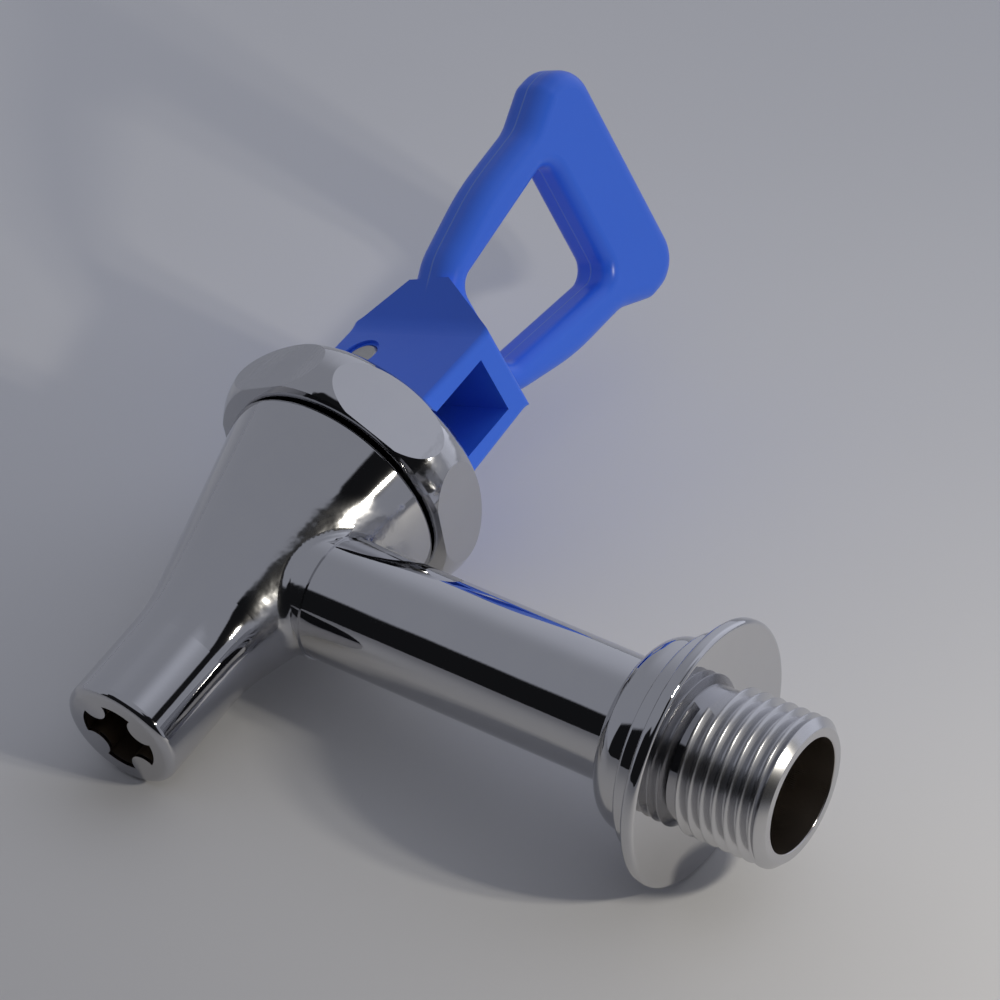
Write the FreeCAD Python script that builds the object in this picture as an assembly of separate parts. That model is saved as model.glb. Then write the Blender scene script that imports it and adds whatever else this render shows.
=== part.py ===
import FreeCAD, Part
import math
import os

# Bag in box tap: tapered brass body with a spout, a threaded shank for the tank wall, a
# hexagon bonnet and a lever handle that lifts a spring loaded silicone seat cup.
# Millimetres. Origin: centre of the flange's tank side face. +Y runs along the shank
# into the tank, +Z runs up the body's axis to the handle.

Vec = FreeCAD.Vector

# shank: tube, stepped flange and half inch thread
reach = 71.76            # body axis to the flange's tank side face
tube_r = 8.84
tube_bore_r = 6.75
inlet_r = 8.05
inlet_depth = 22.0
flange_r = 18.66
flange_t = 2.0
flange_round = 0.75
ring_r = 15.46
ring_w = 3.1
ring_round = 0.5
collar_r = 13.7
collar_w = 5.6
collar_round = 3.6
collar_root_round = 0.6
thread_r = 10.4775
thread_len = 14.23
thread_chamfer = 1.1
end_round = 0.2          # edges of the thread's end face

# tap body
rim_r = 17.0
rim_z = 16.0
rim_round = 0.4
spout_r = 8.75
spout_end_z = -34.0
spout_edge_round = 1.2
cone_slope = 0.2585      # change of radius with height
cone_blend = 30.0
neck_r = 15.0
neck_h = 6.2
chamber_r = 12.2
chamber_floor_r = 9.4
chamber_taper_top_z = 7.0
chamber_taper_end_z = -4.0
seat_z = -6.6
spout_bore_r = 5.8
boss_r = 9.15
boss_reach = 12.05
boss_fillet = 1.8
joint_gap = 0.02         # between the shank and the body it is let into

# flow straightener ribs inside the spout's mouth
mouth_ribs = 4
mouth_rib_r = 2.15
mouth_rib_inner_r = 3.5
mouth_rib_len = 12.0
mouth_rib_angle = 53.0

# bonnet
bonnet_gap = 0.4         # open joint over the body's rim
bulge_r = 6.8
bulge_centre_r = 13.8
bonnet_h = 11.2
hexagon_af = 37.0
hexagon_angle = 30.0
hexagon_flats = 6
bonnet_thread_gap = 0.1
bonnet_lip_chamfer = 0.6

# seat cup and what clamps it
cup_rim_t = 0.8
cup_wall = 1.2
cup_rim_r = 14.8
cup_gap = 0.3            # all round, inside the body's neck
cup_nose_r = 7.8
cup_taper_top_z = 18.0
cup_taper_end_z = 6.0
cup_floor_z = -2.45
cup_nose_round = 1.6
cup_bend_round = 3.0
cup_inner_round = 0.6
cup_lip = 0.2            # cup's floor left above the stem's groove
seat_gap = 0.05
slip_washer_t = 0.6

# swivel yoke
swivel_washer_t = 0.5
disc_r = 12.3
disc_t = 1.6
disc_gap = 0.1
bonnet_web = 1.9         # metal left under the yoke's recess
spigot_r = 6.0
spigot_len = 2.2         # what stands out below the bonnet's web
spigot_round = 0.4
disc_round = 0.3
running_gap = 0.05
lug_r = 3.55
lug_half_w = 4.3
clip_r = 7.6
clip_t = 0.9
clip_groove_depth = 0.8
clip_gap = 0.1
clip_slot = 5.0

# guide bush
bush_r = 4.0
bush_flange_r = 5.2
bush_flange_t = 0.8

# stem
stem_r = 2.0
stem_end_round = 0.3
ball_r = 3.6
ball_drop = 3.0          # ball centre below the pivot pin
foot_groove_r = 1.3
foot_groove_w = 1.3
foot_len = 1.1

# spring and its washers
wire_r = 0.55
coil_r = 4.3
coils = 7.5
washer_t = 0.7
washer_r = 5.4
washer_gap = 0.1         # round the stem

# handle
handle_turn = -22.0      # how the handle stands turned about the body's axis
pin_r = 2.65
pin_chamfer = 0.3
pin_forward = 7.3        # pivot pin ahead of the body's axis
pin_rise = 9.4           # pivot pin above the bonnet's top
handle_gap = 0.3         # under the handle's base
base_half_w = 6.8
base_foot_half_w = 7.35
base_rear = 13.5         # base's rear face behind the body's axis
base_front = 13.8        # base's front face ahead of the body's axis
base_top = 15.8          # rear edge of the base's roof above the bonnet
base_round = 0.9
front_top = 15.8         # front edge of its front roof
channel_half_w = 4.5
channel_top = 12.1
channel_front_top = 13.4
lip_t = 1.2
lip_bottom = 8.95
arm_forward = 0.7        # the loop's middle plane ahead of the body's axis
arm_half_t = 3.85
arm_round = 2.6
ridge_rear = 22.2        # where the rear roof meets the arms
ridge_front = 21.7
shoulder_half_w = 12.5
shoulder_z = 24.5
waist_round = 5.0        # outline's corner where the arms leave the base
shoulder_round = 10.0
arm_bow = 1.25           # the arms' outer sides swell by this much
arm_bow_round = 40.0
neck_half_w = 16.7
neck_drop = 14.2         # neck, knob and hole are measured down from the top
neck_round = 7.0
knob_half_w = 19.8
knob_side = 7.9
knob_low_round = 3.0
handle_h = 62.8
knob_round = 5.8
hole_low_half_w = 7.8
hole_low_z = 24.4
hole_top_half_w = 11.1
hole_drop = 13.3
hole_round = 2.6
hole_rim_round = 2.0
ledge_gap = 0.3          # between the stem and the ledges beside it
ledge_front = -1.8
ledge_rear = 9.0
ledge_root = 0.5         # the ledges run this far into the walls
pin_sink = 0.45
pin_recess_r = 3.2
pin_recess_depth = 0.6
lug_room_gap = 0.4       # between the yoke's lug and the wall behind it

# levels that follow from the sizes above
neck_top_z = rim_z + neck_h
cup_rim_z = neck_top_z + cup_rim_t
ceiling_z = cup_rim_z + slip_washer_t
web_top_z = ceiling_z + bonnet_web
disc_z = web_top_z + swivel_washer_t
bonnet_top_z = disc_z + disc_t
bonnet_low_z = rim_z + bonnet_gap
spigot_end_z = ceiling_z - spigot_len
pin_z = bonnet_top_z + pin_rise
base_z = bonnet_top_z + handle_gap
ball_z = pin_z - ball_drop
foot_top_z = cup_floor_z - cup_lip - foot_groove_w
upper_washer_z = spigot_end_z - running_gap - washer_t
lower_washer_z = cup_floor_z + seat_gap


def outline(corners, place):
    """Closed wire through corners (u, v, radius), each rounded by its own radius."""
    points = []
    for i, (u, v, radius) in enumerate(corners):
        here = Vec(u, v, 0)
        before = Vec(*corners[i - 1][:2], 0)
        after = Vec(*corners[(i + 1) % len(corners)][:2], 0)
        way_in = (here - before).normalize()
        way_out = (after - here).normalize()
        bend = way_in.getAngle(way_out)
        if radius and bend > 1e-4:
            cut = radius * math.tan(bend / 2)
            inward = (way_out - way_in).normalize()
            mid = here + inward * (radius / math.cos(bend / 2) - radius)
            points.append((here - way_in * cut, mid, here + way_out * cut))
        else:
            points.append((here, None, here))
    edges = []
    for i, (start, mid, end) in enumerate(points):
        if mid is not None:
            edges.append(Part.Arc(place(start), place(mid), place(end)).toShape())
        following = points[(i + 1) % len(points)][0]
        if (following - end).Length > 1e-6:
            edges.append(Part.makeLine(place(end), place(following)))
    return Part.Wire(edges)


def turned(corners, about_y=False):
    """Solid of revolution of a profile of (radius, height, rounding) corners."""
    def across(p):
        return Vec(p.x, 0, p.y)

    def along(p):
        return Vec(p.x, p.y, 0)

    wire = outline(corners, along if about_y else across)
    axis = Vec(0, 1, 0) if about_y else Vec(0, 0, 1)
    return Part.Face(wire).revolve(Vec(0, 0, 0), axis, 360)


def ring(inner, outer, low, high):
    return turned([(inner, low, 0), (outer, low, 0), (outer, high, 0), (inner, high, 0)])


def rod_x(radius, half_length, y, z):
    return Part.makeCylinder(radius, 2 * half_length, Vec(-half_length, y, z), Vec(1, 0, 0))


def block(x0, x1, y0, y1, z0, z1):
    return Part.makeBox(x1 - x0, y1 - y0, z1 - z0, Vec(x0, y0, z0))


def on_body(shape):
    """Moves a shape made about the Z axis onto the body's axis."""
    shape.translate(Vec(0, -reach, 0))
    return shape


def on_handle(shape):
    """Turns a shape made facing -Y as the handle stands, and moves it to the body's axis."""
    shape.rotate(Vec(0, 0, 0), Vec(0, 0, 1), handle_turn)
    return on_body(shape)


def chamber(clearance=0.0, floor=seat_z):
    """The valve chamber, from above the neck down to the given floor."""
    return turned([
        (0, floor, 0),
        (chamber_floor_r + clearance, floor, 0),
        (chamber_floor_r + clearance, chamber_taper_end_z, 0),
        (chamber_r + clearance, chamber_taper_top_z, 0),
        (chamber_r + clearance, neck_top_z + 1, 0),
        (0, neck_top_z + 1, 0)])


def body_outside():
    corner_z = rim_z - (rim_r - spout_r) / cone_slope
    shell = turned([
        (0, spout_end_z, 0),
        (spout_r, spout_end_z, spout_edge_round),
        (spout_r, corner_z, cone_blend),
        (rim_r, rim_z, rim_round),
        (neck_r, rim_z, 0),
        (neck_r, neck_top_z, 0),
        (0, neck_top_z, 0)])
    boss = Part.makeCylinder(boss_r, boss_reach, Vec(0, 0, 0), Vec(0, 1, 0))
    joined = shell.fuse(boss)
    root = [
        edge for edge in joined.Edges
        if edge.Curve.TypeId == "Part::GeomBSplineCurve" and edge.BoundBox.YMin > 1]
    return joined.makeFillet(boss_fillet, root)


def tap_body():
    bore = Part.makeCylinder(spout_bore_r, seat_z - spout_end_z + 1, Vec(0, 0, spout_end_z - 0.5))
    ribs = []
    for i in range(mouth_ribs):
        angle = math.radians(mouth_rib_angle + i * 360 / mouth_ribs)
        radius = mouth_rib_inner_r + mouth_rib_r
        foot = Vec(radius * math.cos(angle), radius * math.sin(angle), spout_end_z - 0.5)
        ribs.append(Part.makeCylinder(mouth_rib_r, mouth_rib_len + 0.5, foot))
    bore = bore.cut(ribs)
    socket = Part.makeCylinder(tube_r + joint_gap, reach / 2, Vec(0, 0, 0), Vec(0, 1, 0))
    socket = socket.cut(chamber(floor=-2 * tube_r))
    return on_body(body_outside().cut([chamber(), bore, socket]))


def shank():
    inner_y = -reach
    step_y = thread_len - inlet_depth
    collar_y = -flange_t - ring_w - collar_w
    solid = turned([
        (tube_bore_r, inner_y, 0),
        (tube_r, inner_y, 0),
        (tube_r, collar_y, collar_root_round),
        (collar_r, collar_y, collar_round),
        (collar_r, -flange_t - ring_w, 0),
        (ring_r, -flange_t - ring_w, ring_round),
        (ring_r, -flange_t, 0),
        (flange_r, -flange_t, flange_round),
        (flange_r, 0, flange_round),
        (thread_r, 0, 0),
        (thread_r, thread_len - thread_chamfer, 0),
        (thread_r - thread_chamfer, thread_len, end_round),
        (inlet_r, thread_len, end_round),
        (inlet_r, step_y, 0),
        (tube_bore_r, step_y - (inlet_r - tube_bore_r), 0)], about_y=True)
    return solid.cut(on_body(chamber(joint_gap, floor=-2 * tube_r)))


def bonnet():
    bulge_z = bonnet_top_z - bulge_r
    low_r = bulge_centre_r + math.sqrt(bulge_r ** 2 - (bulge_z - bonnet_low_z) ** 2)
    thread_bore_r = neck_r + bonnet_thread_gap
    side = Part.Arc(
        Vec(low_r, 0, bonnet_low_z), Vec(bulge_centre_r + bulge_r, 0, bulge_z),
        Vec(bulge_centre_r, 0, bonnet_top_z)).toShape()
    inside = [
        (bulge_centre_r, bonnet_top_z),
        (disc_r + disc_gap, bonnet_top_z),
        (disc_r + disc_gap, web_top_z),
        (spigot_r + running_gap, web_top_z),
        (spigot_r + running_gap, ceiling_z),
        (thread_bore_r, ceiling_z),
        (thread_bore_r, bonnet_low_z + bonnet_lip_chamfer),
        (thread_bore_r + bonnet_lip_chamfer, bonnet_low_z),
        (low_r, bonnet_low_z)]
    line = Part.makePolygon([Vec(r, 0, z) for r, z in inside])
    solid = Part.Face(Part.Wire([side] + line.Edges)).revolve(Vec(0, 0, 0), Vec(0, 0, 1), 360)
    outer = bulge_centre_r + bulge_r + 1
    flats = []
    for i in range(hexagon_flats):
        slab = block(hexagon_af / 2, 2 * outer, -outer, outer, bonnet_low_z - 1, bonnet_top_z + 1)
        slab.rotate(Vec(0, 0, 0), Vec(0, 0, 1), hexagon_angle + i * 360 / hexagon_flats)
        flats.append(slab)
    return on_body(solid.cut(flats))


def seat_cup():
    outer_r = chamber_r - cup_gap
    inner_r = outer_r - cup_wall
    nose_inner_r = cup_nose_r - cup_wall
    hole_r = stem_r + running_gap
    lip_r = foot_groove_r + running_gap
    lip_top_z = cup_floor_z - cup_lip - running_gap
    return on_body(turned([
        (0, seat_z + seat_gap, 0),
        (cup_nose_r - cup_nose_round / 2, seat_z + seat_gap, cup_nose_round / 2),
        (cup_nose_r, seat_z + seat_gap + cup_nose_round, cup_inner_round),
        (cup_nose_r, cup_taper_end_z, cup_bend_round),
        (outer_r, cup_taper_top_z, cup_bend_round),
        (outer_r, neck_top_z, 0),
        (cup_rim_r, neck_top_z, 0),
        (cup_rim_r, cup_rim_z, 0),
        (inner_r, cup_rim_z, 0),
        (inner_r, cup_taper_top_z, cup_bend_round),
        (nose_inner_r, cup_taper_end_z, cup_bend_round),
        (nose_inner_r, cup_floor_z, cup_inner_round),
        (hole_r, cup_floor_z, 0),
        (hole_r, lip_top_z, 0),
        (lip_r, lip_top_z, 0),
        (lip_r, foot_top_z + running_gap, 0),
        (hole_r, foot_top_z + running_gap, 0),
        (hole_r, foot_top_z - foot_len - running_gap, 0),
        (0, foot_top_z - foot_len - running_gap, 0)]))


def bonnet_washer():
    return on_body(ring(chamber_r - cup_gap - cup_wall, cup_rim_r, cup_rim_z, ceiling_z))


def swivel_washer():
    return on_body(ring(spigot_r + running_gap, disc_r, web_top_z, disc_z))


def yoke_circlip():
    top_z = ceiling_z - clip_gap
    inner = spigot_r - clip_groove_depth + running_gap
    clip = ring(inner, clip_r, top_z - clip_t, top_z)
    slot = block(0, clip_r + 1, -clip_slot / 2, clip_slot / 2, top_z - clip_t - 1, top_z + 1)
    return on_handle(clip.cut(slot))


def swivel_yoke():
    groove_top = ceiling_z - clip_gap + running_gap
    groove_r = spigot_r - clip_groove_depth
    base = turned([
        (bush_r, spigot_end_z, 0),
        (spigot_r, spigot_end_z, spigot_round),
        (spigot_r, groove_top - clip_t - 2 * running_gap, 0),
        (groove_r, groove_top - clip_t - 2 * running_gap, 0),
        (groove_r, groove_top, 0),
        (spigot_r, groove_top, 0),
        (spigot_r, disc_z, 0),
        (disc_r, disc_z, 0),
        (disc_r, bonnet_top_z, disc_round),
        (bush_flange_r, bonnet_top_z, 0),
        (bush_flange_r, bonnet_top_z - bush_flange_t, 0),
        (bush_r, bonnet_top_z - bush_flange_t, 0)])
    post = block(-lug_half_w, lug_half_w, -pin_forward - lug_r, -pin_forward + lug_r, disc_z, pin_z)
    lug = post.fuse(rod_x(lug_r, lug_half_w, -pin_forward, pin_z))
    lug = lug.cut([
        rod_x(pin_r, lug_half_w + 1, -pin_forward, pin_z),
        Part.makeCylinder(bush_flange_r, disc_t + 1, Vec(0, 0, disc_z))])
    return on_handle(base.fuse(lug).removeSplitter())


def guide_bush():
    bore = stem_r + running_gap
    top_z = bonnet_top_z
    return on_handle(turned([
        (bore, spigot_end_z, 0),
        (bush_r, spigot_end_z, 0),
        (bush_r, top_z - bush_flange_t, 0),
        (bush_flange_r, top_z - bush_flange_t, 0),
        (bush_flange_r, top_z, 0),
        (bore, top_z, 0)]))


def pivot_pin():
    half = cheek_half_w(pin_rise) - pin_sink
    pin = rod_x(pin_r, half, -pin_forward, pin_z)
    ends = [e for e in pin.Edges if abs(abs(e.CenterOfMass.x) - half) < 1e-3 and e.Closed]
    return on_handle(pin.makeChamfer(pin_chamfer, ends))


def stem():
    shaft_low_z = foot_top_z + foot_groove_w
    end_z = foot_top_z - foot_len
    shaft = turned([
        (0, end_z, 0),
        (stem_r, end_z, stem_end_round),
        (stem_r, foot_top_z, 0),
        (foot_groove_r, foot_top_z, 0),
        (foot_groove_r, shaft_low_z, 0),
        (stem_r, shaft_low_z, 0),
        (stem_r, ball_z, 0),
        (0, ball_z, 0)])
    return on_body(shaft.fuse(Part.makeSphere(ball_r, Vec(0, 0, ball_z))).removeSplitter())


def spring():
    low = lower_washer_z + washer_t + running_gap + wire_r
    high = upper_washer_z - running_gap - wire_r
    helix = Part.makeHelix((high - low) / coils, high - low, coil_r)
    helix.translate(Vec(0, 0, low))
    section = Part.Wire(Part.makeCircle(wire_r, Vec(coil_r, 0, low), Vec(0, 1, 0)))
    return on_body(Part.Wire(helix).makePipeShell([section], True, True))


def upper_spring_washer():
    return on_handle(ring(stem_r + washer_gap, washer_r, upper_washer_z, upper_washer_z + washer_t))


def lower_spring_washer():
    return on_body(ring(stem_r + washer_gap, washer_r, lower_washer_z, lower_washer_z + washer_t))


def cheek_half_w(height):
    """Half width of the handle's base at a height above the bonnet's top."""
    share = (height - handle_gap) / (base_top - handle_gap)
    return base_foot_half_w + (base_half_w - base_foot_half_w) * share


def mirrored(corners):
    """Right half of an outline, from its foot up, and the same corners back down the left."""
    return corners + [(-u, v, radius) for u, v, radius in reversed(corners)]


def front_outline():
    top = bonnet_top_z
    neck_z = handle_h - neck_drop
    mid_half_w = (shoulder_half_w + neck_half_w) / 2 + arm_bow
    return mirrored([
        (base_foot_half_w, base_z, 0),
        (base_half_w, top + base_top, waist_round),
        (shoulder_half_w, top + shoulder_z, shoulder_round),
        (mid_half_w, top + (shoulder_z + neck_z) / 2, arm_bow_round),
        (neck_half_w, top + neck_z, neck_round),
        (knob_half_w, top + handle_h - knob_side, knob_low_round),
        (knob_half_w, top + handle_h, knob_round)])


def in_front(p):
    return Vec(p.x, 0, p.y)


def from_side(p):
    return Vec(0, p.x, p.y)


def rims(plate, wall):
    """Edges of a plate's two faces that lie on the given wall."""
    found = []
    for edge in plate.Edges:
        middle = Part.Vertex(edge.valueAt((edge.FirstParameter + edge.LastParameter) / 2))
        if edge.BoundBox.YLength < 1e-6 and middle.distToShape(wall)[0] < 1e-4:
            found.append(edge)
    return found


def loop_plate():
    """The two arms and the end bar, with the finger hole, as one rounded plate."""
    top = bonnet_top_z
    across = Vec(0, 2 * arm_half_t, 0)
    forward = Vec(0, -arm_half_t - arm_forward, 0)
    outside = outline(front_outline(), in_front)
    hole = outline(mirrored([
        (hole_low_half_w, top + hole_low_z, hole_round),
        (hole_top_half_w, top + handle_h - hole_drop, hole_round)]), in_front)
    outside.translate(forward)
    hole.translate(forward)
    plate = Part.Face(outside).cut(Part.Face(hole)).extrude(across)
    plate = plate.makeFillet(arm_round, rims(plate, outside.extrude(across)))
    return plate.makeFillet(hole_rim_round, rims(plate, hole.extrude(across)))


def base_block():
    """The hinge box: the same front outline, cut down to the side's sloping roofs."""
    top = bonnet_top_z
    wide = Part.Face(outline(front_outline(), in_front))
    wide = wide.extrude(Vec(0, base_rear + base_front, 0))
    wide.translate(Vec(0, -base_front, 0))
    rear_y = arm_half_t - arm_forward
    front_y = -arm_half_t - arm_forward
    side = Part.Face(outline([
        (base_rear, base_z, 0),
        (base_rear, top + base_top, 0),
        (rear_y, top + ridge_rear, 0),
        (front_y, top + ridge_front, 0),
        (-base_front, top + front_top, 0),
        (-base_front, base_z, 0)], from_side))
    side = side.extrude(Vec(4 * knob_half_w, 0, 0))
    side.translate(Vec(-2 * knob_half_w, 0, 0))
    solid = wide.common(side)
    corners = [
        edge for edge in solid.Edges
        if edge.BoundBox.ZMax > base_z + 0.01
        and (edge.BoundBox.YMin > base_rear - 0.01 or edge.BoundBox.YMax < 0.01 - base_front)]
    return solid.makeFillet(base_round, corners)


def handle():
    top = bonnet_top_z
    solid = loop_plate().fuse(base_block())
    channel = block(
        -channel_half_w, channel_half_w, lip_t - base_front, base_rear + 1,
        base_z - 1, top + channel_top)
    lug_room = block(
        -channel_half_w, channel_half_w, lip_t - base_front,
        lug_r + lug_room_gap - pin_forward, base_z - 1, top + channel_front_top)
    mouth = block(
        -channel_half_w, channel_half_w, -base_front - 1, 0, base_z - 1, top + lip_bottom)
    nose = block(
        -knob_half_w, knob_half_w, -base_front - 1, -pin_forward, base_z - 1, pin_z)
    nose = nose.cut(rod_x(pin_rise - handle_gap, knob_half_w + 1, -pin_forward, pin_z))
    solid = solid.cut([channel, lug_room, mouth, nose])
    ledge_top = ball_z - math.sqrt(ball_r ** 2 - (stem_r + ledge_gap) ** 2) - running_gap
    for sign in (-1, 1):
        inner = sign * (stem_r + ledge_gap)
        outer = sign * (channel_half_w + ledge_root)
        ledge = block(
            min(inner, outer), max(inner, outer), ledge_front, ledge_rear, base_z, ledge_top)
        solid = solid.fuse(ledge)
    hole = rod_x(pin_r + running_gap, knob_half_w, -pin_forward, pin_z)
    tools = [hole]
    for sign in (-1, 1):
        face_x = sign * (cheek_half_w(pin_rise) - pin_recess_depth)
        tools.append(Part.makeCylinder(
            pin_recess_r, base_half_w, Vec(face_x, -pin_forward, pin_z), Vec(sign, 0, 0)))
    return on_handle(solid.cut(tools).removeSplitter())


PIECES = [
    tap_body, shank, bonnet, bonnet_washer, seat_cup, stem, spring, upper_spring_washer,
    lower_spring_washer, guide_bush, swivel_yoke, swivel_washer, yoke_circlip, pivot_pin, handle]

os.makedirs("parts", exist_ok=True)
for make in PIECES:
    shape = make()
    if len(shape.Solids) == 1:
        shape = shape.Solids[0]
    shape.exportStep("parts/" + make.__name__ + ".step")
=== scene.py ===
import math
import bpy
from mathutils import Matrix, Quaternion, Vector


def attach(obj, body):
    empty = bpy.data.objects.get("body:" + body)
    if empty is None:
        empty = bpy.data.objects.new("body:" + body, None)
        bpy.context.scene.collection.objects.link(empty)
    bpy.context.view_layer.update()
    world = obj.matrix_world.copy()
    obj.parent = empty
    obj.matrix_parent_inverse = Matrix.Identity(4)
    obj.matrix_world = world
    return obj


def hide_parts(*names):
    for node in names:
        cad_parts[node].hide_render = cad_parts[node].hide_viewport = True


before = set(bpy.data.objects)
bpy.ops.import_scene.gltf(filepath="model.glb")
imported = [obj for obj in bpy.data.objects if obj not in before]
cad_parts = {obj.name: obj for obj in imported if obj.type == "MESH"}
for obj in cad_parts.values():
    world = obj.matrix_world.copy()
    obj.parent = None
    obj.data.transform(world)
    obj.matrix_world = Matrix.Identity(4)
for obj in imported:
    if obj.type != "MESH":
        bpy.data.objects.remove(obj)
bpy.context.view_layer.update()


# ---- tap body -------------------------------------------------------------------------------
# A tapered brass casting with the spout and the boss for the shank. It is turned outside,
# polished and chrome plated, but its bores are left as bare, browned brass. Round the boss's
# root the polishing wheel couldn't reach, so the casting's grain shows through the plating.

class Socket:
    """A shader socket that can be used in ordinary arithmetic."""

    def __init__(self, owner, output):
        self.owner = owner
        self.output = output

    def node(self, kind, settings=None, **inputs):
        made = self.owner.node_tree.nodes.new(kind)
        for name, value in (settings or {}).items():
            if name == "stops":
                ramp = made.color_ramp
                while len(ramp.elements) < len(value):
                    ramp.elements.new(0.5)
                for element, (place, colour) in zip(ramp.elements, value):
                    element.position = place
                    element.color = colour
            else:
                setattr(made, name, value)
        for name, value in inputs.items():
            key = int(name[1:]) if name[0] == "_" else name.replace("_", " ")
            target = made.inputs[key]
            if isinstance(value, Socket):
                self.owner.node_tree.links.new(value.output, target)
            else:
                target.default_value = value
        return made

    def out(self, kind, settings=None, output=0, **inputs):
        return Socket(self.owner, self.node(kind, settings, **inputs).outputs[output])

    def math(self, operation, other=None):
        values = {"_0": self}
        if other is not None:
            values["_1"] = other
        return self.out("ShaderNodeMath", {"operation": operation}, **values)

    def __add__(self, other):
        return self.math("ADD", other)

    def __mul__(self, other):
        return self.math("MULTIPLY", other)

    def __sub__(self, other):
        return self.math("SUBTRACT", other)

    def __rsub__(self, other):
        return (self * -1.0).math("ADD", other)

    def __abs__(self):
        return self.math("ABSOLUTE")

    __radd__ = __add__
    __rmul__ = __mul__

    def vector(self, operation, other=None, output=0):
        values = {"_0": self}
        if other is not None:
            values["_1"] = other
        return self.out("ShaderNodeVectorMath", {"operation": operation}, output, **values)

    def along(self, direction):
        return self.vector("DOT_PRODUCT", direction, 1)

    def rise(self, low, high):
        """0 below low, 1 above high, and a smooth step between them."""
        return self.out(
            "ShaderNodeMapRange", {"interpolation_type": "SMOOTHSTEP"},
            Value=self, From_Min=low, From_Max=high)

    def fall(self, low, high):
        return 1.0 - self.rise(low, high)

    def mixed(self, first, second):
        """Colour first where this is 0, second where it is 1."""
        return self.out("ShaderNodeMix", {"data_type": "RGBA"}, 2, Factor=self, _6=first, _7=second)


def new_finish(name, **constants):
    """A material with its main shader's fixed values set, the shader and the object place."""
    material = bpy.data.materials.new(name)
    material.use_nodes = True
    shader = material.node_tree.nodes["Principled BSDF"]
    for key, value in constants.items():
        shader.inputs[key.replace("_", " ")].default_value = value
    coordinates = material.node_tree.nodes.new("ShaderNodeTexCoord")
    return material, shader, Socket(material, coordinates.outputs["Object"])


def feed(shader, name, value):
    value.owner.node_tree.links.new(value.output, shader.inputs[name])


def noise(place, scale, detail=3.0):
    return place.out("ShaderNodeTexNoise", Vector=place, Scale=scale, Detail=detail)


def relief(place, height, depth):
    """A bump from heights of 0 to 1, in metres of depth."""
    return place.out("ShaderNodeBump", Strength=1.0, Distance=depth, Height=height)


def dress(node, material):
    piece = bpy.data.objects[node]
    piece.data.materials.clear()
    piece.data.materials.append(material)


body_axis = Vector((0, -0.07176, 0))
plating = (0.60, 0.60, 0.61, 1.0)
bare_brass = (0.30, 0.235, 0.165, 1.0)


def chrome_plate(name, inside=None, rough=None, satin=None):
    """Chrome plating: bare brass, cast grain and a satin cut where the three masks are 1."""
    material, shader, place = new_finish(name, Metallic=1.0)
    swell = noise(place, 55.0, 1.0)
    film = noise(place, 240.0, 5.0)
    grain = noise(place, 1900.0, 4.0)
    shade = film.mixed(plating, (0.57, 0.57, 0.59, 1.0))
    roughness = film * 0.05 + 0.015
    height = swell + grain * 0.012
    if inside:
        bare = inside(place)
        shade = bare.mixed(shade, bare_brass)
        roughness = roughness + bare * 0.38
        height = height + bare * grain * 0.25
    if rough:
        cast = rough(place)
        height = height + cast * noise(place, 380.0, 2.0) * 0.8
        roughness = roughness + cast * 0.12
    if satin:
        roughness = roughness + satin(place) * 0.20
    feed(shader, "Base Color", shade)
    feed(shader, "Roughness", roughness)
    feed(shader, "Normal", relief(place, height, 0.00010))
    return material


def spout_bore(place):
    level = place.along((0, 0, 1))
    from_axis = (place.vector("SUBTRACT", tuple(body_axis)).vector("MULTIPLY", (1, 1, 0))
                 .vector("LENGTH", None, 1))
    return from_axis.fall(0.0057, 0.0062) * level.rise(-0.0339, -0.0333)


def boss_root(place):
    from_boss = place.vector("MULTIPLY", (1, 0, 1)).vector("LENGTH", None, 1)
    ring = from_boss.rise(0.0088, 0.0098) * from_boss.fall(0.0120, 0.0150)
    return ring * place.along((0, 1, 0)).rise(-0.0690, -0.0640)


dress("tap_body", chrome_plate("body plating", spout_bore, boss_root))


# ---- shank ----------------------------------------------------------------------------------
# The brass tube with its collars and flange, turned and plated as one piece. Its end has a
# half inch pipe thread, which the solid has as a plain cylinder: here the ridge is wound
# round a core of the thread's root size.

tube_radius = 0.00884
tube_start = -0.0610
bore_radius = 0.00675
inlet_radius = 0.00805
inlet_floor = -0.00777
flange_radius = 0.01866
flange_back = -0.002
flange_round = 0.00075
ring_radius = 0.01546
ring_back = -0.0051
ring_round = 0.0005
collar_radius = 0.0137
collar_back = -0.0107
collar_round = 0.0036
collar_root_round = 0.0006
thread_pitch = 0.001814
thread_crest = 0.0104775
thread_root = 0.00934
thread_start = 0.0011
thread_stop = 0.01262
thread_runout = 0.0004
shank_end = 0.01423
end_chamfer = 0.0011
end_round = 0.0002
sharp_tip = 0.00022
tip_bevel = 0.00033
steps_round_shank = 192
steps_a_turn = 96


def select_only(piece):
    bpy.ops.object.select_all(action="DESELECT")
    piece.select_set(True)
    bpy.context.view_layer.objects.active = piece


def face_outward(piece):
    select_only(piece)
    bpy.ops.object.mode_set(mode="EDIT")
    bpy.ops.mesh.select_all(action="SELECT")
    bpy.ops.mesh.normals_make_consistent(inside=False)
    bpy.ops.object.mode_set(mode="OBJECT")


def rounded(corners):
    """The points of an outline whose corners (radius, reach, rounding) are rounded off."""
    points = []
    for index, (radius, reach, rounding) in enumerate(corners):
        here = Vector((radius, reach))
        into = (here - Vector(corners[index - 1][:2])).normalized()
        away = (Vector(corners[(index + 1) % len(corners)][:2]) - here).normalized()
        if not rounding:
            points.append(here)
            continue
        bend = into.angle(away)
        sense = 1 if into.cross(away) > 0 else -1
        centre = here + (away - into).normalized() * rounding / math.cos(bend / 2)
        start = here - into * rounding * math.tan(bend / 2) - centre
        steps = max(4, round(math.degrees(bend) / 8))
        for step in range(steps + 1):
            points.append(centre + Matrix.Rotation(sense * bend * step / steps, 2) @ start)
    return points


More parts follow.
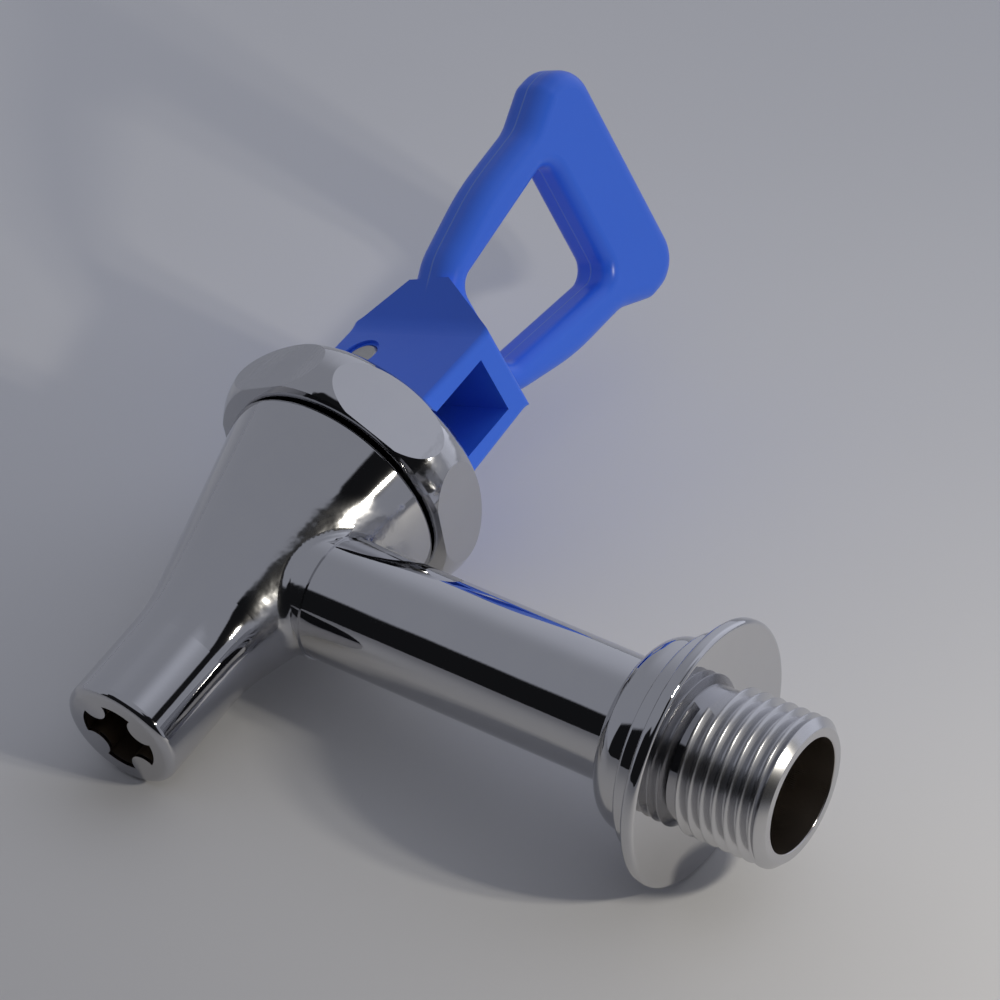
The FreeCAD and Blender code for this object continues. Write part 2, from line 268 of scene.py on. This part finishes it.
shank_outline = rounded([
    (bore_radius, tube_start, 0),
    (tube_radius, tube_start, 0),
    (tube_radius, collar_back, collar_root_round),
    (collar_radius, collar_back, collar_round),
    (collar_radius, ring_back, 0),
    (ring_radius, ring_back, ring_round),
    (ring_radius, flange_back, 0),
    (flange_radius, flange_back, flange_round),
    (flange_radius, 0, flange_round),
    (thread_root, 0, 0),
    (thread_root, thread_stop, 0),
    (thread_crest, thread_stop + thread_runout, 0),
    (thread_crest, shank_end - end_chamfer, end_round),
    (thread_crest - end_chamfer, shank_end, end_round),
    (inlet_radius, shank_end, end_round),
    (inlet_radius, inlet_floor, 0),
    (bore_radius, inlet_floor - (inlet_radius - bore_radius), 0)])
bpy.ops.object.select_all(action="DESELECT")
bpy.ops.mesh.primitive_circle_add(vertices=len(shank_outline), radius=0.001)
shank = bpy.context.object
shank.name = "threaded_shank"
for vertex, point in zip(shank.data.vertices, shank_outline):
    vertex.co = (point.x, point.y, 0)
turning = shank.modifiers.new("turning", "SCREW")
turning.axis = "Y"
turning.steps = steps_round_shank
turning.render_steps = steps_round_shank
bpy.ops.object.modifier_apply(modifier="turning")
face_outward(shank)

ridge_corner = thread_pitch / math.sqrt(3)
bpy.ops.object.select_all(action="DESELECT")
bpy.ops.mesh.primitive_circle_add(
    vertices=3, radius=ridge_corner,
    location=(thread_crest - ridge_corner + sharp_tip, thread_start, 0),
    rotation=(0, 0, math.radians(-90)))
ridge = bpy.context.object
ridge.name = "thread_ridge"
bpy.ops.object.transform_apply(location=True, rotation=True, scale=True)
bpy.ops.object.mode_set(mode="EDIT")
bpy.ops.mesh.select_all(action="DESELECT")
bpy.ops.object.mode_set(mode="OBJECT")
tip = max(ridge.data.vertices, key=lambda vertex: vertex.co.x)
tip.select = True
bpy.ops.object.mode_set(mode="EDIT")
bpy.ops.mesh.bevel(offset=tip_bevel, segments=3, profile=0.5, affect="VERTICES")
bpy.ops.object.mode_set(mode="OBJECT")
turns = (thread_stop - thread_start) / thread_pitch
winding = ridge.modifiers.new("winding", "SCREW")
winding.axis = "Y"
winding.angle = 2 * math.pi * turns
winding.screw_offset = thread_stop - thread_start
winding.steps = round(steps_a_turn * turns)
winding.render_steps = winding.steps
bpy.ops.object.modifier_apply(modifier="winding")
bpy.ops.object.mode_set(mode="EDIT")
bpy.ops.mesh.select_all(action="DESELECT")
bpy.ops.mesh.select_non_manifold()
bpy.ops.mesh.fill_holes(sides=0)
bpy.ops.object.mode_set(mode="OBJECT")
face_outward(ridge)
bpy.ops.object.select_all(action="DESELECT")
ridge.select_set(True)
shank.select_set(True)
bpy.context.view_layer.objects.active = shank
bpy.ops.object.join()
bpy.ops.object.shade_smooth_by_angle(angle=math.radians(32))


def shank_bore(place):
    from_axis = place.vector("MULTIPLY", (1, 0, 1)).vector("LENGTH", None, 1)
    return from_axis.fall(0.00800, 0.00812)


def thread_cut(place):
    from_axis = place.vector("MULTIPLY", (1, 0, 1)).vector("LENGTH", None, 1)
    return from_axis.rise(0.0085, 0.0090) * place.along((0, 1, 0)).rise(0.0003, 0.0008)


shank.data.materials.clear()
shank.data.materials.append(chrome_plate("shank plating", shank_bore, None, thread_cut))
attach(shank, "tap")
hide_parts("shank")


# ---- bonnet ---------------------------------------------------------------------------------
# The turned, six-sided bonnet nut. Its rounded side and its flats are polished, but one
# corner between two flats was missed and keeps a rough, sparkling cast skin.

def missed_corner(place):
    spoke = Vector((math.cos(math.radians(61)), math.sin(math.radians(61)), 0))
    from_axis = place.vector("SUBTRACT", tuple(body_axis))
    out = from_axis.along(tuple(spoke))
    aside = abs(from_axis.along((-spoke.y, spoke.x, 0)))
    ragged = noise(place, 700.0, 4.0) * 0.0016
    return out.rise(0.012, 0.014) * (aside + ragged).fall(0.0026, 0.0040)


dress("bonnet", chrome_plate("bonnet plating", None, missed_corner))


# ---- hidden valve parts ---------------------------------------------------------------------
# Stainless steel stem, spring, washers, yoke and pin, with the cut marks of their turning;
# white acetal bush and washers; and a milky silicone seat cup.

steel, shader, place = new_finish("stainless steel", Metallic=0.9)
marks = place.out("ShaderNodeTexNoise", Vector=place.vector("MULTIPLY", (1, 1, 12)), Scale=500.0)
feed(shader, "Base Color", marks.mixed((0.50, 0.49, 0.46, 1), (0.62, 0.61, 0.58, 1)))
feed(shader, "Roughness", marks * 0.2 + 0.28)
feed(shader, "Normal", relief(place, marks, 0.00001))
for node in (
        "stem", "spring", "upper_spring_washer", "lower_spring_washer", "swivel_yoke",
        "yoke_circlip", "pivot_pin"):
    dress(node, steel)
acetal, shader, place = new_finish("white acetal")
cloud = noise(place, 260.0)
feed(shader, "Base Color", cloud.mixed((0.80, 0.80, 0.77, 1), (0.88, 0.88, 0.86, 1)))
feed(shader, "Roughness", cloud * 0.2 + 0.35)
for node in ("guide_bush", "swivel_washer", "bonnet_washer"):
    dress(node, acetal)
silicone, shader, place = new_finish("silicone", Subsurface_Weight=0.2, Subsurface_Scale=0.002)
cloud = noise(place, 180.0)
feed(shader, "Base Color", cloud.mixed((0.68, 0.68, 0.64, 1), (0.78, 0.78, 0.75, 1)))
feed(shader, "Roughness", cloud * 0.2 + 0.4)
dress("seat_cup", silicone)


# ---- handle ---------------------------------------------------------------------------------
# One glossy blue plastic moulding. The mould's two halves met in the middle of the loop's
# thickness, and left a fine pale line along the outer sides and in the finger hole.

handle_turn = math.radians(-22)
loop_forward = 0.0007
thickness_way = Vector((-math.sin(handle_turn), math.cos(handle_turn), 0))
blue, shader, place = new_finish("blue moulding", Specular_IOR_Level=0.5)
from_split = abs(place.vector("SUBTRACT", tuple(body_axis)).along(tuple(thickness_way)) + loop_forward)
line = from_split.fall(0.00006, 0.00020) * place.along((0, 0, 1)).rise(0.0475, 0.0500)
orange_peel = noise(place, 420.0, 2.0)
cloud = noise(place, 60.0, 3.0)
shade = cloud.mixed((0.042, 0.180, 0.980, 1), (0.050, 0.195, 1.0, 1))
feed(shader, "Base Color", (line * 0.55).mixed(shade, (0.25, 0.42, 1.0, 1)))
feed(shader, "Roughness", cloud * 0.08 + 0.26)
feed(shader, "Normal", relief(place, orange_peel * 0.35 + line, 0.00005))
dress("handle", blue)


# ---- floor ----------------------------------------------------------------------------------
# The tap lies on its side on smooth pale paper: on the bonnet's edge, the spout's end and
# the flange. Its tone is darker toward the near end, in place of a fall in the light there.

up = Vector((0.975, 0.041, 0.218)).normalized()
front = Vector((0.1714, 0.4848, -0.8577))
right = up.cross(front)
floor_level = -0.01869
bpy.ops.mesh.primitive_plane_add(size=6.0)
floor = bpy.context.object
floor.name = "floor"
floor.rotation_mode = "QUATERNION"
floor.rotation_quaternion = up.to_track_quat("Z", "Y")
floor.location = up * floor_level
paper, shader, place = new_finish("floor paper", Specular_IOR_Level=0.25)
cloud = noise(place, 14.0, 4.0)
fibre = noise(place, 900.0, 3.0)
nearer = place.along(tuple(floor.rotation_quaternion.inverted() @ front)).rise(-0.16, 0.14)
shade = nearer.mixed((0.90, 0.90, 0.91, 1), (0.60, 0.59, 0.58, 1))
feed(shader, "Base Color", (cloud * 0.12).mixed(shade, (0.62, 0.62, 0.62, 1)))
feed(shader, "Roughness", fibre * 0.1 + 0.45)
feed(shader, "Normal", relief(place, fibre, 0.00001))
floor.data.materials.append(paper)


# ---- camera ---------------------------------------------------------------------------------
# A long lens just over half a metre away, above the floor and in front of the spout and the flange. It
# is turned about its own axis, so that the shank runs down to the right.

eye = Vector((0.41324, 0.20848, -0.26609))
target = Vector((0.00512, -0.04636, 0.02163))
camera = bpy.data.cameras.new("camera")
camera.lens = 147.86
camera.sensor_width = 36
camera.clip_start = 0.01
camera_object = bpy.data.objects.new("camera", camera)
bpy.context.collection.objects.link(camera_object)
camera_object.location = eye
roll = math.radians(39.745)
turn = (target - eye).to_track_quat("-Z", "Y") @ Quaternion((0, 0, 1), roll)
camera_object.rotation_euler = turn.to_euler()
bpy.context.scene.camera = camera_object


# ---- studio ---------------------------------------------------------------------------------
# A white tent, brighter at the back and on the right, with the dark room in front of it,
# and two small lamps side by side in the opening.

studio = bpy.data.worlds.new("studio")
studio.use_nodes = True
bpy.context.scene.world = studio
coordinates = studio.node_tree.nodes.new("ShaderNodeTexCoord")
way = Socket(studio, coordinates.outputs["Generated"])
ahead = way.along(tuple(front))
aside = way.along(tuple(right))
above = way.along(tuple(up))
opening = ahead.rise(0.33, 0.37) * above.fall(0.64, 0.70)
opening = opening * (1.0 - aside.rise(0.75, 0.82) * above.fall(0.42, 0.47))
seam = aside.rise(0.30, 0.40) * above.rise(0.46, 0.48)
seam = seam * (above - ahead * 0.5).fall(0.56, 0.60) * ahead.rise(-0.12, -0.06)
dark = opening.math("MAXIMUM", seam)
back_glow = (ahead * -1.0).rise(0.25, 0.80) * aside.rise(-0.50, 0.10)
right_glow = aside.rise(0.15, 0.60) * (ahead * -1.0).rise(-0.10, 0.10)
strength = (0.30 + back_glow * 0.21 + right_glow * 0.28) * (1.0 - dark * 0.97)
background = studio.node_tree.nodes["Background"]
background.inputs["Color"].default_value = (0.95, 0.985, 1.12, 1)
feed(background, "Strength", strength)


lamp_across = 0.012
lamp_colour = (1, 0.95, 0.84)


def lamp(name, place, aim, power):
    data = bpy.data.lights.new(name, "AREA")
    data.shape = "DISK"
    data.size = lamp_across
    data.energy = power
    data.color = lamp_colour
    made = bpy.data.objects.new(name, data)
    bpy.context.collection.objects.link(made)
    made.location = place
    made.rotation_euler = (aim - place).to_track_quat("-Z", "Y").to_euler()


middle = Vector((0, -0.04, 0.02))
lamp_place = front * 0.074 + right * 0.129 + up * 0.115
lamp("first lamp", lamp_place, middle, 0.090)
lamp("second lamp", lamp_place + right * 0.014 - front * 0.012, middle, 0.080)

bpy.context.scene.view_settings.view_transform = "Standard"
